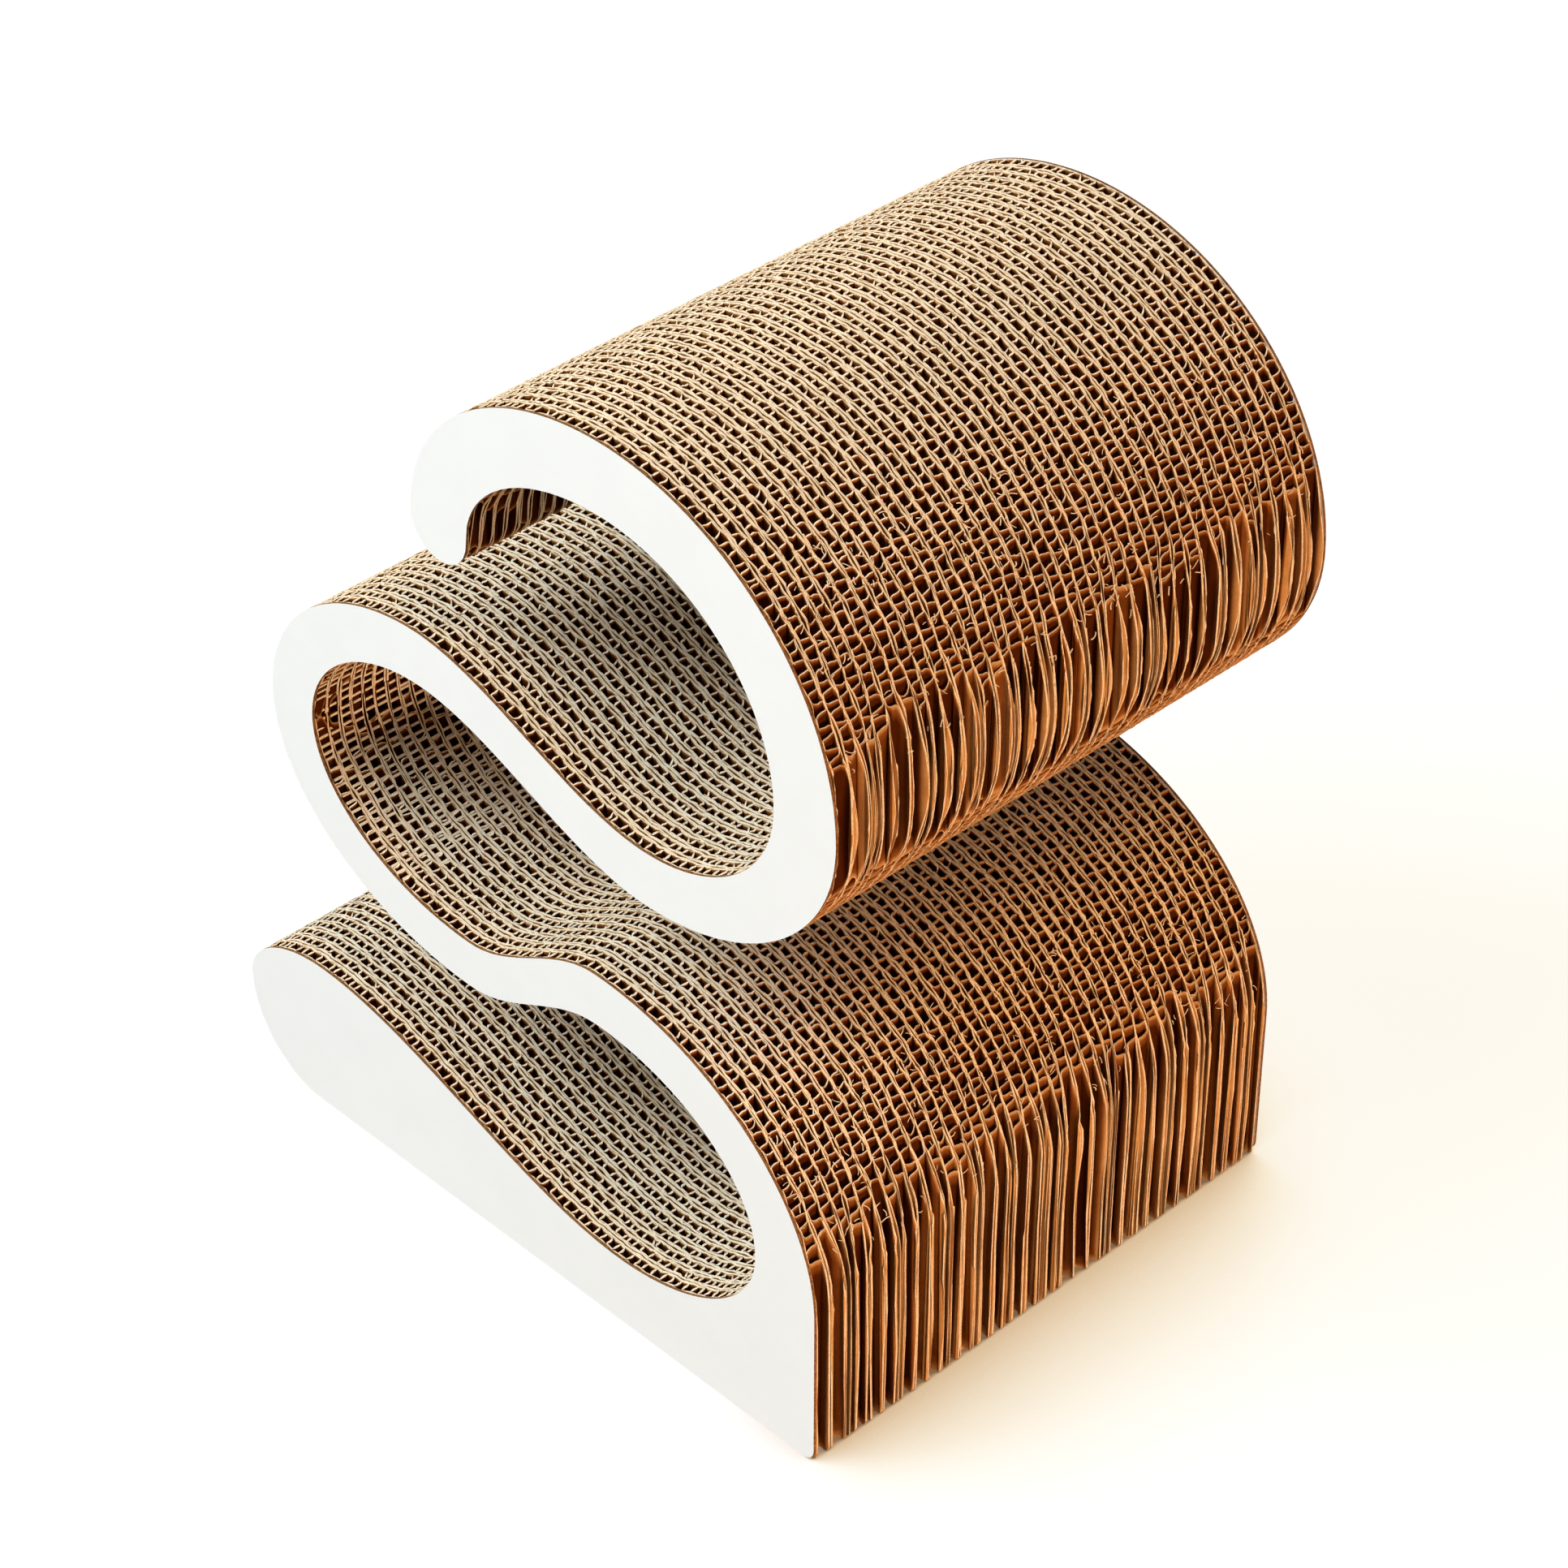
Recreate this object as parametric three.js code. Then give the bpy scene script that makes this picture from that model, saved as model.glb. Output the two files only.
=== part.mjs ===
// A wave-shaped cat scratcher. Boards of corrugated cardboard are die-cut to one serpentine outline and
// glued face to face, and a plain white sheet closes each end of the stack.
// Millimetres: X runs along the wave, Y across the stack, Z up. The object stands on Z = 0, with its
// origin under the middle of its box.
import * as THREE from "three";

// The stack, across Y
const BOARD_COUNT = 42;
const BOARD_CALIPER = 4.85;
const GLUE_LINE = 0.1;
const FACE_SHEET_CALIPER = 1;

// Thicknesses of the wave's band
const BASE_THICKNESS = 27.5;
const BAND_THICKNESS = 20;
const DIP_THICKNESS = 18;
const LEG_THICKNESS = 26;
const HOOK_THICKNESS = 25;

// Heights of the hollows, and how far each band rises or falls from its right end to its left end
const LOWER_HOLLOW_HEIGHT = 93.5;
const WAIST_GAP = 41;
const UPPER_HOLLOW_HEIGHT = 111.5;
const WEDGE_RISE = 34;
const HUMP_DROP = 22.5;
const SADDLE_RISE = 28;

// Levels where the band runs upright at its turns, each from the floor of the hollow that it closes
const LOWER_TURN_RISE = 43;
const LEFT_TURN_RISE = 49;
const UPPER_TURN_RISE = 46;

// Reaches along X, measured from the crown of the hook
const UPPER_TURN_REACH = 72.5;
const LOWER_TURN_REACH = 64;
const TROUGH_REACH = 17;
const HUMP_REACH = 7;
const DIP_REACH = 67;
const LEFT_CREST_REACH = 86;
const LEFT_TURN_DEPTH = 54.5;
const WEDGE_CREST_REACH = 146;
const WEDGE_TIP_DEPTH = 40;

// The hook's free end, the upright wall and the rounded ends of the foot
const HOOK_REACH = 58.5;
const HOOK_FALL = 38.5;
const HOOK_END_ROUND = 12;
const WALL_HEIGHT = 60.5;
const WALL_CORNER = 5;
const WEDGE_TIP_LEVEL = 36;
const WEDGE_UNDERCUT = 34;

// Fineness of the cut outline: the most that a straight facet may stand off a true curve
const FACET_SAG = 1.5;
const FACETS_PER_S_BEND = 3;

const KRAFT = 0xb98a58;
const KRAFT_ROUGHNESS = 0.9;
const WHITE = 0xf6f7f4;
const WHITE_ROUGHNESS = 0.6;

// Levels above the floor, stacked upwards through the wave
const lowerFloor = BASE_THICKNESS;
const lowerCeiling = lowerFloor + LOWER_HOLLOW_HEIGHT;
const humpTop = lowerCeiling + BAND_THICKNESS;
const dipTop = humpTop - HUMP_DROP;
const dipUnderside = dipTop - DIP_THICKNESS;
const saddleUnderside = humpTop + WAIST_GAP;
const upperFloor = saddleUnderside + BAND_THICKNESS;
const leftCrestUnderside = saddleUnderside + SADDLE_RISE;
const leftCrestTop = leftCrestUnderside + BAND_THICKNESS;
const upperCeiling = upperFloor + UPPER_HOLLOW_HEIGHT;
const crownTop = upperCeiling + HOOK_THICKNESS;
const wedgeCrest = lowerFloor + WEDGE_RISE;
const lowerTurnLevel = lowerFloor + LOWER_TURN_RISE;
const leftTurnLevel = dipTop + LEFT_TURN_RISE;
const upperTurnLevel = upperFloor + UPPER_TURN_RISE;
const hookEndLevel = upperCeiling - HOOK_FALL;

// Stations along X; the crown of the hook is at 0
const wallX = LOWER_TURN_REACH + LEG_THICKNESS;
const upperTurnX = UPPER_TURN_REACH + HOOK_THICKNESS;
const leftTurnInnerX = -LEFT_CREST_REACH - LEFT_TURN_DEPTH;
const leftTurnX = leftTurnInnerX - BAND_THICKNESS;
const hookEndX = -HOOK_REACH - HOOK_THICKNESS;
const hookEndMiddleX = -HOOK_REACH - HOOK_THICKNESS / 2;
const wedgeTipX = -WEDGE_CREST_REACH - WEDGE_TIP_DEPTH;

// Facets in a quarter of an ellipse whose longer half-axis is given.
function facetsPerQuarter(halfAxis) {
  const sag = Math.min(FACET_SAG / halfAxis, 1);
  return Math.max(2, Math.ceil(Math.PI / 4 / Math.acos(1 - sag)));
}

// An outline under way: it starts at a point and each call carries it on to the point given.
class Outline {
  constructor(x, z) {
    this.points = [new THREE.Vector2(x, z)];
  }

  get end() {
    return this.points[this.points.length - 1];
  }

  line(x, z) {
    this.points.push(new THREE.Vector2(x, z));
    return this;
  }

  // A quarter of an ellipse that leaves level and arrives upright.
  levelToUpright(x, z) {
    const { x: x0, y: z0 } = this.end;
    return this.quarter(x0, z, x - x0, z0 - z, false);
  }

  // A quarter of an ellipse that leaves upright and arrives level.
  uprightToLevel(x, z) {
    const { x: x0, y: z0 } = this.end;
    return this.quarter(x, z0, x0 - x, z - z0, true);
  }

  // A quarter about (cx, cz): halfX and halfZ carry the signs of the quadrant.
  quarter(cx, cz, halfX, halfZ, fromUpright) {
    const facets = facetsPerQuarter(Math.max(Math.abs(halfX), Math.abs(halfZ)));
    for (let step = 1; step <= facets; step += 1) {
      const swept = ((step / facets) * Math.PI) / 2;
      const angle = fromUpright ? swept : Math.PI / 2 - swept;
      this.line(cx + halfX * Math.cos(angle), cz + halfZ * Math.sin(angle));
    }
    return this;
  }

  // An S-bend between two level ends: a cubic curve whose handles are a third of its run.
  sBend(x, z) {
    const start = this.end;
    const handle = (x - start.x) / 3;
    const curve = new THREE.CubicBezierCurve(
      start,
      new THREE.Vector2(start.x + handle, start.y),
      new THREE.Vector2(x - handle, z),
      new THREE.Vector2(x, z),
    );
    this.points.push(...curve.getPoints(FACETS_PER_S_BEND).slice(1));
    return this;
  }
}

// The die's outline, anticlockwise: along the floor, up the outer side of the wave to the end of the
// hook, and back down its inner side to the tip of the wedge.
function waveOutline() {
  const outline = new Outline(wedgeTipX + WEDGE_UNDERCUT, 0)
    .line(wallX - WALL_CORNER, 0)
    .levelToUpright(wallX, WALL_CORNER)
    .line(wallX, WALL_HEIGHT)
    .uprightToLevel(-HUMP_REACH, humpTop)
    .sBend(-DIP_REACH, dipTop)
    .levelToUpright(leftTurnInnerX, leftTurnLevel)
    .uprightToLevel(-LEFT_CREST_REACH, leftCrestUnderside)
    .sBend(TROUGH_REACH, saddleUnderside)
    .levelToUpright(upperTurnX, upperTurnLevel)
    .uprightToLevel(0, crownTop)
    .levelToUpright(hookEndX, hookEndLevel)
    .uprightToLevel(hookEndMiddleX, hookEndLevel - HOOK_END_ROUND)
    .levelToUpright(-HOOK_REACH, hookEndLevel)
    .uprightToLevel(0, upperCeiling)
    .levelToUpright(UPPER_TURN_REACH, upperTurnLevel)
    .uprightToLevel(TROUGH_REACH, upperFloor)
    .sBend(-LEFT_CREST_REACH, leftCrestTop)
    .levelToUpright(leftTurnX, leftTurnLevel)
    .uprightToLevel(-DIP_REACH, dipUnderside)
    .sBend(-HUMP_REACH, lowerCeiling)
    .levelToUpright(LOWER_TURN_REACH, lowerTurnLevel)
    .uprightToLevel(0, lowerFloor)
    .sBend(-WEDGE_CREST_REACH, wedgeCrest)
    .levelToUpright(wedgeTipX, WEDGE_TIP_LEVEL)
    .uprightToLevel(wedgeTipX + WEDGE_UNDERCUT, 0);
  return outline.points.slice(0, -1);
}

// A sheet of the die's outline, of the given caliper, standing upright with its front face on Y = 0.
function dieCutSheet(points, caliper) {
  const sheet = new THREE.ExtrudeGeometry(new THREE.Shape(points), { depth: caliper, bevelEnabled: false });
  sheet.rotateX(Math.PI / 2);
  sheet.translate(0, caliper, 0);
  return sheet;
}

function piece(name, geometry, frontY, color, roughness) {
  const mesh = new THREE.Mesh(geometry, new THREE.MeshStandardMaterial({ color, roughness, metalness: 0 }));
  mesh.name = name;
  mesh.position.y = frontY;
  return mesh;
}

const outline = waveOutline();
const box = new THREE.Box2().setFromPoints(outline);
const boardPitch = BOARD_CALIPER + GLUE_LINE;
const stackDepth = BOARD_COUNT * boardPitch + GLUE_LINE;
const stackFront = -stackDepth / 2;

const scratcher = new THREE.Group();
scratcher.position.x = -box.getCenter(new THREE.Vector2()).x;

const boardGeometry = dieCutSheet(outline, BOARD_CALIPER);
for (let index = 0; index < BOARD_COUNT; index += 1) {
  const name = `board_${String(index + 1).padStart(2, "0")}`;
  const frontY = stackFront + GLUE_LINE + index * boardPitch;
  scratcher.add(piece(name, boardGeometry, frontY, KRAFT, KRAFT_ROUGHNESS));
}

const faceGeometry = dieCutSheet(outline, FACE_SHEET_CALIPER);
const frontFaceY = stackFront - FACE_SHEET_CALIPER;
scratcher.add(piece("front_face_sheet", faceGeometry, frontFaceY, WHITE, WHITE_ROUGHNESS));
scratcher.add(piece("rear_face_sheet", faceGeometry, -stackFront, WHITE, WHITE_ROUGHNESS));

export default scratcher;
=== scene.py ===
"""A wave-shaped cat scratcher: corrugated boards glued face to face, with a white sheet on each end.

Sizes are millimetres, as on a maker's drawing, and MM turns them into the frame's metres. X runs along the
wave, Y across the stack of boards and Z up.
"""
import math

import bpy
import numpy as np
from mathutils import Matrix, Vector


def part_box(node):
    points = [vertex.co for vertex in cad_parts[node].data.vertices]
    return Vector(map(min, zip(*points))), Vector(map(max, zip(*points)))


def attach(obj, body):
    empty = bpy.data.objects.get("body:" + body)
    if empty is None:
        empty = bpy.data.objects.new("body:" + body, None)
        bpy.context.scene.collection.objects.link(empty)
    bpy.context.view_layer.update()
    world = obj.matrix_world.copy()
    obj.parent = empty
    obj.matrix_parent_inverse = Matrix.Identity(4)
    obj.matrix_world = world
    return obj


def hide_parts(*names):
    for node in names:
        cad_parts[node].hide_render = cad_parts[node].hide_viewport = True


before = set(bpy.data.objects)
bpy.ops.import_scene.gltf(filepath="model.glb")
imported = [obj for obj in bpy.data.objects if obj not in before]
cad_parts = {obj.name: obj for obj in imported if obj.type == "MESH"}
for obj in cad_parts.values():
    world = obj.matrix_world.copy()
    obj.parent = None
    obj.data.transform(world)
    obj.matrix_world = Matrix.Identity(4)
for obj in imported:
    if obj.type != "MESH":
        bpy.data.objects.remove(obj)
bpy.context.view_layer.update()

MM = 0.001
SEED = 4

# The die's outline: thicknesses of the wave's band
BASE_THICKNESS = 27.5
BAND_THICKNESS = 20
DIP_THICKNESS = 18
LEG_THICKNESS = 26
HOOK_THICKNESS = 25

# Heights of the hollows, and how far each band rises or falls from its right end to its left end
LOWER_HOLLOW_HEIGHT = 93.5
WAIST_GAP = 41
UPPER_HOLLOW_HEIGHT = 111.5
WEDGE_RISE = 34
HUMP_DROP = 22.5
SADDLE_RISE = 28

# Levels where the band runs upright at its turns, each from the floor of the hollow that it closes
LOWER_TURN_RISE = 43
LEFT_TURN_RISE = 49
UPPER_TURN_RISE = 46

# Reaches along X, measured from the crown of the hook
UPPER_TURN_REACH = 72.5
LOWER_TURN_REACH = 64
TROUGH_REACH = 17
HUMP_REACH = 7
DIP_REACH = 67
LEFT_CREST_REACH = 86
LEFT_TURN_DEPTH = 54.5
WEDGE_CREST_REACH = 146
WEDGE_TIP_DEPTH = 40

# The hook's free end, the upright wall and the rounded ends of the foot
HOOK_REACH = 58.5
HOOK_FALL = 38.5
HOOK_END_ROUND = 12
WALL_HEIGHT = 60.5
WALL_CORNER = 5
BOARD_CORNER = 2
WEDGE_TIP_LEVEL = 36
WEDGE_UNDERCUT = 34

# Fineness: points on each curve of the outline, stations drawn close to the ends of a strip of paper, those
# of a flank in its reaches, points along the line of flanks, every fourth point of the outline for depths,
# and the degrees from which an edge is shaded sharp
POINTS_PER_CURVE = 48
END_STEP = 0.08
END_STATIONS = 6
FLANK_STATIONS = (-2.2, -1.2, -0.6, 0, 0.6, 1.2, 2.2)
FLANK_LINE_POINTS = 2000
DEPTH_STRIDE = 4
SHARP_ANGLE = 70
TINY = 1e-6

# Corrugated board. Pairs are for flutes cut along their length and for flutes cut square, where paper frays
LINER_CALIPER = (0.3, 0.92)
LINER_RECESS = (0.28, 0.18)
GAP_DEPTH = 6
END_LINER_CALIPER = (0.2, 0.25)
END_LINER_RECESS = (0, 0)
LINER_STEP = 1.2
LINER_WOBBLE = 0.28
SLOPE_WOBBLE = 1.0
WOBBLE_LENGTHS = (1.3, 2.3, 0.7)
WOBBLE_CLIMB = 9
LINER_FRAY = 0.3
FLUTE_CALIPER = (0.3, 0.9)
FLAT_CALIPER = 0.25
PAIR_POWER = 2.4
LEAST_HALF = 0.02
FLUTE_PITCH = 6.6
FLUTE_UNEVENNESS = 0.17
FLUTE_WIDTHS = (0.5, 1.6)
FLUTE_FRAY = 0.35
FLUTE_LEAN = 0.022
LEAN_SHARES = (0.35, 1)
FLANK_REACH = (0.07, 0.14)
FLANK_BOW = (-0.35, 0.45)
STEEPEST_SHARE = 0.99
CHANNEL_DEPTH = (3, 5.2)
OPEN_CUT = 0.3
TIP_HEIGHT = 2
MEETING_HEIGHT = 1
TORN_SHARE = 0.05
TEAR_DEPTH = 1.8

# Small webs across the open flutes at the left end of the middle hollow, and the shade painted on their deep
# corners
WEB_DEPTH = 2.6
WEB_INSET = 0.6
WEB_STEEPNESS = 0.3
WEB_REACH = 90
WEB_PAINTED_SHADE = 3.0

# Sways of the glued stack, as lengths along x, z and y and a turn, and how unevenly its boards stand at the
# wave's two upright sides, with the levels between which that comes and goes
STACK_WAVER = 0.32
STACK_SWAYS = ((9.0, 13.0, 31.0, 0), (-17.0, 7.5, 23.0, 1.7))
CALM_POWER = 6
SPREAD_SHARES = (1.27, 1.27, 0.46)
SPREAD_UNEVENNESS = 0.05
SPREAD_REACH = 11
WALL_SPREAD_TOP = (65, 105)
HOOK_SPREAD_FOOT = (160, 175)
HOOK_SPREAD_TOP = (262, 300)

# Stray fibres on the slopes that face right
SHRED_COUNT = 12
SHRED_LENGTH = (1.4, 3.4)
SHRED_CALIPER = (0.12, 0.26)
SHRED_STATIONS = 5
SHRED_BOW = 0.16
SHRED_STRAY = 1.5
SHRED_LIFT = 0.25
SHRED_SINK = 0.15
SHRED_STEEPNESS = (0.6, 0.98)
SHRED_LOW_X = 40

# Shade painted into the paper's colour in the flutes: the depths over which it darkens, and the powers by
# which a sloping cut opens a flute
CLOSED_FLUTE_SHADE_DEPTH = 0.44
OPEN_FLUTE_SHADE_DEPTH = 3.8
HOLLOW_FLUTE_SHADE_DEPTH = 0.8
OPEN_LINER_SHADE_SHARE = 0.45
CUT_POWER = 1.5
OPENING_POWER = 4
LEAST_CLOSED = 0.02
RAMP_PER_PAINTED_SHADE = 0.25

# The photograph's viewpoint, in its frame of 1932 pixels
PHOTO_SIZE = 1932
FOCAL_PIXELS = 5500
CAMERA_AIM = (12.65, 0, 145.8)
CAMERA_DISTANCE = 1440.2
CAMERA_AZIMUTH = 45.89
CAMERA_ELEVATION = 36.96
SENSOR_WIDTH = 36

# The white surroundings, in metres. A warm shadow is painted into the floor's glow within a reach of the
# object and right of its front
WHITE = (1, 1, 1, 1)
BLACK = (0, 0, 0, 1)
AMBIENT = (0.045, 0.024, 0.012, 1)
FLOOR_HALF = 4.0
FLOOR_PALE = (0.91, 0.87, 0.78, 1)
FLOOR_BOUNCE = (0.2, 0.13, 0.08, 1)
FLOOR_SEEN = (0.14, 0.19, 0.28, 1)
FLOOR_FADE = (0.5, 1.6)
FLOOR_SHADE_REACH = 0.16
FLOOR_SHADE_SAMPLES = 16
FLOOR_SHADE_SIDES = (("X", 0.06, 0.13), ("Y", -0.13, -0.09))

# Lamps: name, place and aim in metres, width and height, watts, and colour
LAMPS = (
    ("key", (-2.4, -2.4, 2.9), (0, 0, 0.15), (2, 2), 96, (0.93, 1.0, 1.0)),
    ("front_fill", (-0.9, -2.5, 3.2), (0, 0, 0.17), (2, 2), 111, (0.93, 1.0, 1.0)),
    ("low_front_fill", (-0.5, -3.0, 0.55), (0, 0, 0.15), (1.6, 0.8), 14, (0.85, 0.96, 1.0)),
    ("top_right_fill", (1.25, -0.4, 2.85), (0.1, 0, 0.2), (0.8, 0.8), 31, (1.0, 0.6, 0.25)),
    ("low_right_fill", (0.9, -0.05, 0.04), (0.13, 0, 0.15), (0.6, 0.07), 6.7, (1.0, 0.57, 0.32)),
    ("right_front_fill", (1.8, -1.5, 0.12), (0.1, 0, 0.15), (0.8, 0.16), 3, (1.0, 0.85, 0.7)),
    ("back_fill", (-1.2, 2.9, 1.5), (0, 0, 0.15), (2, 2), 9, (1.0, 0.97, 0.92)),
    ("low_back_fill", (-1.8, 2.6, 0.35), (0, 0, 0.15), (2.4, 0.5), 68, (0.94, 1.0, 1.0)),
)


class Signal:
    """A socket of a material's nodes. Arithmetic on it adds Math nodes, and node() adds any other."""

    def __init__(self, tree, socket=None):
        self.tree = tree
        self.socket = socket

    def node(self, kind, settings=None, sockets=None, output=0):
        """Adds a node: its settings first, then its sockets' values or links. Gives one of its outputs."""
        made = self.tree.nodes.new(kind)
        for name, value in (settings or {}).items():
            if name == "stops":
                self.set_stops(made.color_ramp, value)
            else:
                setattr(made, name, value)
        for name, value in (sockets or {}).items():
            self.feed(made.inputs[name], value)
        return Signal(self.tree, made.outputs[output])

    def feed(self, socket, value):
        if isinstance(value, Signal):
            self.tree.links.new(value.socket, socket)
        else:
            socket.default_value = value

    @staticmethod
    def set_stops(ramp, stops):
        """A ramp's stops as (position, colour), of which a new ramp already has two."""
        for _ in stops[2:]:
            ramp.elements.new(1)
        for element, (position, colour) in zip(ramp.elements, stops):
            element.position = position
            element.color = colour

    def math(self, operation, first, second=0.0):
        return self.node("ShaderNodeMath", {"operation": operation}, {0: first, 1: second})

    def __add__(self, other):
        return self.math("ADD", self, other)

    def __radd__(self, other):
        return self.math("ADD", other, self)

    def __sub__(self, other):
        return self.math("SUBTRACT", self, other)

    def __rsub__(self, other):
        return self.math("SUBTRACT", other, self)

    def __mul__(self, other):
        return self.math("MULTIPLY", self, other)

    def __rmul__(self, other):
        return self.math("MULTIPLY", other, self)

    def blend(self, start, end):
        """A colour from start to end by this factor."""
        settings = {"data_type": "RGBA"}
        return self.node("ShaderNodeMix", settings, {0: self, 6: start, 7: end}, output=2)

    def tint(self, colour, other):
        """Two colours multiplied."""
        settings = {"data_type": "RGBA", "blend_type": "MULTIPLY"}
        return self.node("ShaderNodeMix", settings, {0: 1.0, 6: colour, 7: other}, output=2)

    def ramp(self, stops):
        """The colour that this factor picks from a ramp."""
        return self.node("ShaderNodeValToRGB", {"stops": stops}, {0: self})

    def eased(self, low, high):
        """0 below low and 1 above high, with a smooth step between them."""
        settings = {"interpolation_type": "SMOOTHSTEP"}
        return self.node("ShaderNodeMapRange", settings, {0: self, 1: low, 2: high})


def new_material(name):
    """A material with its plain shader, and a signal to build its nodes from."""
    made = bpy.data.materials.new(name)
    made.use_nodes = True
    shader = made.node_tree.nodes["Principled BSDF"]
    return made, shader, Signal(made.node_tree)


def noise(start, place, scale, detail=4.0, roughness=0.6):
    """Soft noise about 0.5, its features about 1 / scale metres across."""
    sockets = {"Vector": place, "Scale": scale, "Detail": detail, "Roughness": roughness}
    return start.node("ShaderNodeTexNoise", {}, sockets)


def stretched(start, place, stretch):
    """Coordinates multiplied by stretch, so that a pattern draws out where stretch is small."""
    return start.node("ShaderNodeMapping", {}, {"Vector": place, "Scale": stretch})


def make_matt(shader, roughness):
    """A rough surface without any gloss."""
    shader.inputs["Roughness"].default_value = roughness
    shader.inputs["Specular IOR Level"].default_value = 0


def add_bump(start, shader, strength, depth, height):
    """Fine relief of the shader's surface by height, up to depth in metres."""
    sockets = {"Strength": strength, "Distance": depth, "Height": height}
    start.feed(shader.inputs["Normal"], start.node("ShaderNodeBump", {}, sockets))


def painted_shade_in_flutes(start):
    """Painted shade for a point of the board's paper by its place in the flutes: white at a cut edge, then
    darker.

    Each upright line of the paper carries the painted shade of its middle and its closedness c. Along the
    line the painted shade grows evenly from an edge, by (1 - |2 s - 1|) / c where s is the share of the way
    up, and then stays.
    """
    share = start.node("ShaderNodeAttribute", {"attribute_name": "share"}, output="Fac")
    closed = start.node("ShaderNodeAttribute", {"attribute_name": "closed"}, output="Fac")
    middle = start.node("ShaderNodeAttribute", {"attribute_name": "middle_gloom"}, output="Fac")
    inward = start.math("DIVIDE", 1 - start.math("ABSOLUTE", 2 * share - 1), closed)
    painted_shade = middle * start.math("MINIMUM", inward, 1.0) * RAMP_PER_PAINTED_SHADE
    # painted shade: from white at a cut edge to near black deep in the flutes
    stops = ((0, WHITE), (0.25, (0.38, 0.22, 0.13, 1)), (0.75, (0.1, 0.04, 0.016, 1)))
    return painted_shade.ramp(stops)


def kraft_face():
    """Faces of the liners and flutes: orange-brown kraft with upright fibres, and shade painted deep in the
    flutes.
    """
    made, shader, start = new_material("kraft_face")
    place = start.node("ShaderNodeTexCoord", output="Object")
    clouds = noise(start, place, 160.0)
    fibres = noise(start, stretched(start, place, (1.0, 1.0, 0.25)), 2600.0, 3.0)
    tone = clouds * 0.6 + fibres * 0.4
    stops = ((0.3, (0.5, 0.27, 0.1, 1)), (0.7, (0.7, 0.44, 0.19, 1)))
    start.feed(shader.inputs["Base Color"], start.tint(tone.ramp(stops), painted_shade_in_flutes(start)))
    make_matt(shader, 0.9)
    add_bump(start, shader, 0.25, 0.0002, fibres)
    return made


def kraft_cut():
    """Cut edges of the paper: raw pale fibre with darker specks, and shade painted deep in the flutes."""
    made, shader, start = new_material("kraft_cut")
    place = start.node("ShaderNodeTexCoord", output="Object")
    clouds = noise(start, place, 300.0)
    specks = noise(start, place, 2400.0, 2.0)
    tone = clouds * 0.35 + specks * 0.65
    stops = ((0.32, (0.54, 0.4, 0.26, 1)), (0.5, (0.89, 0.79, 0.62, 1)), (0.68, (0.96, 0.89, 0.75, 1)))
    start.feed(shader.inputs["Base Color"], start.tint(tone.ramp(stops), painted_shade_in_flutes(start)))
    make_matt(shader, 0.95)
    add_bump(start, shader, 0.5, 0.0003, specks)
    return made


def glued_edge():
    """Cut edges of the white sheets: brown with glue."""
    made, shader, start = new_material("glued_edge")
    place = start.node("ShaderNodeTexCoord", output="Object")
    specks = noise(start, place, 900.0, 3.0)
    stops = ((0.35, (0.12, 0.055, 0.022, 1)), (0.65, (0.32, 0.17, 0.075, 1)))
    start.feed(shader.inputs["Base Color"], specks.ramp(stops))
    make_matt(shader, 0.9)
    return made


def white_face():
    """White coated liner: a very faint mottle and the fine tooth of smooth paper."""
    made, shader, start = new_material("white_face")
    place = start.node("ShaderNodeTexCoord", output="Object")
    mottle = noise(start, place, 55.0)
    tooth = noise(start, place, 1800.0, 3.0)
    stops = ((0.35, (0.88, 0.915, 0.94, 1)), (0.65, (0.895, 0.93, 0.955, 1)))
    start.feed(shader.inputs["Base Color"], mottle.ramp(stops))
    start.feed(shader.inputs["Roughness"], 0.5 + tooth * 0.2)
    add_bump(start, shader, 0.08, 0.0002, tooth)
    return made


def carry_on(start, move):
    """The points of one stretch of the outline after its start.

    A move is (kind, x, z). A line goes straight there. A quarter of an ellipse leaves level and arrives
    upright, or leaves upright and arrives level. A bend runs evenly along x and eases z from level to level.
    """
    kind, x, z = move
    from_x, from_z = start
    share = np.arange(1, POINTS_PER_CURVE + 1) / POINTS_PER_CURVE
    angle = share * math.pi / 2
    if kind == "line":
        return np.array([[x, z]], float)
    if kind == "to_upright":
        return np.column_stack((from_x + (x - from_x) * np.sin(angle), z + (from_z - z) * np.cos(angle)))
    if kind == "to_level":
        return np.column_stack((x + (from_x - x) * np.cos(angle), from_z + (z - from_z) * np.sin(angle)))
    return np.column_stack((from_x + (x - from_x) * share, from_z + (z - from_z) * ease(share, 0, 1)))


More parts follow.
